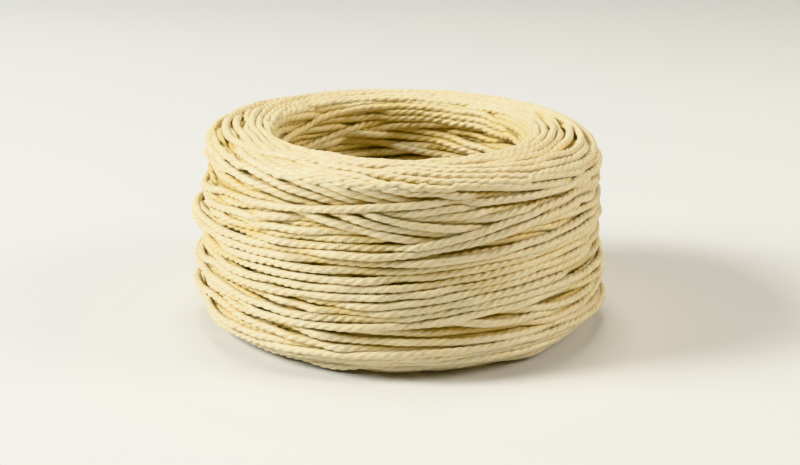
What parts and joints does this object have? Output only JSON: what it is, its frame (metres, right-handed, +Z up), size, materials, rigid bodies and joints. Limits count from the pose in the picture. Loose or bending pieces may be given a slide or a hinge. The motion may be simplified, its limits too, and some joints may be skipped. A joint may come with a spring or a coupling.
{
  "type": "coreless bobbin of thread",
  "caption": "Ring of heavy twisted cream thread, cross-wound so that it holds itself up around an open middle, standing on its end face.",
  "frame": {"origin": "middle of the lower face, on the surface that the bobbin stands on", "axes": "+Z up through the open middle, -Y towards the side that the picture shows"},
  "size_m": [0.034, 0.0332, 0.0162],
  "materials": {
    "thread": "cream twisted polyester thread with a soft waxy sheen"
  },
  "bodies": {
    "root": {"wound_thread": "thread"}
  },
  "joints": []
}
